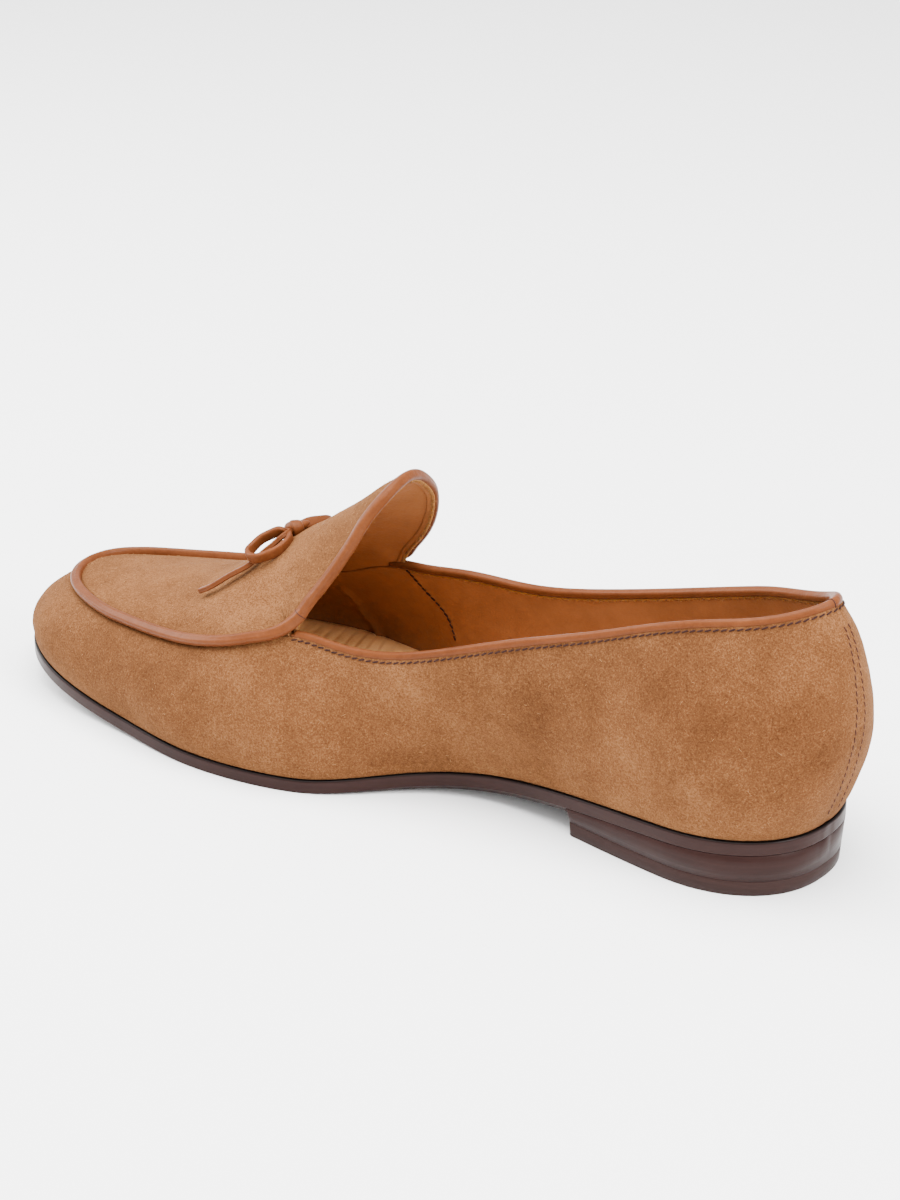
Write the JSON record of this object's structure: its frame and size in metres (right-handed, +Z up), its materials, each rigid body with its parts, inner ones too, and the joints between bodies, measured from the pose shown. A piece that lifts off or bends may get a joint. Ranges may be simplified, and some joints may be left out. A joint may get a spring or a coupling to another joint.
{
  "type": "belgian loafer",
  "caption": "Soft suede slip-on with a raised apron and tongue, rolled leather binding, thin leather sole, low stacked heel and a small bow.",
  "frame": {"origin": "on the floor, under the middle of the heel", "axes": "+X to the toe, +Y to the shoe's inner side, +Z up"},
  "size_m": [0.3028, 0.1027, 0.098],
  "materials": {
    "sole_leather": "dark brown inked and polished edge",
    "lift_rubber": "dull dark brown",
    "suede": "tan suede with a short nap",
    "sock_leather": "smooth tan lining leather",
    "binding_leather": "smooth reddish tan, slightly glossy"
  },
  "bodies": {
    "root": {"outsole": "sole_leather", "heel_stack": "sole_leather", "top_lift": "lift_rubber", "upper": "suede", "insole": "sock_leather", "apron_binding": "binding_leather", "collar_binding": "binding_leather", "bow_knot": "binding_leather", "bow_loop_inner": "binding_leather", "bow_loop_outer": "binding_leather", "bow_tail_inner": "binding_leather", "bow_tail_outer": "binding_leather"}
  },
  "joints": []
}
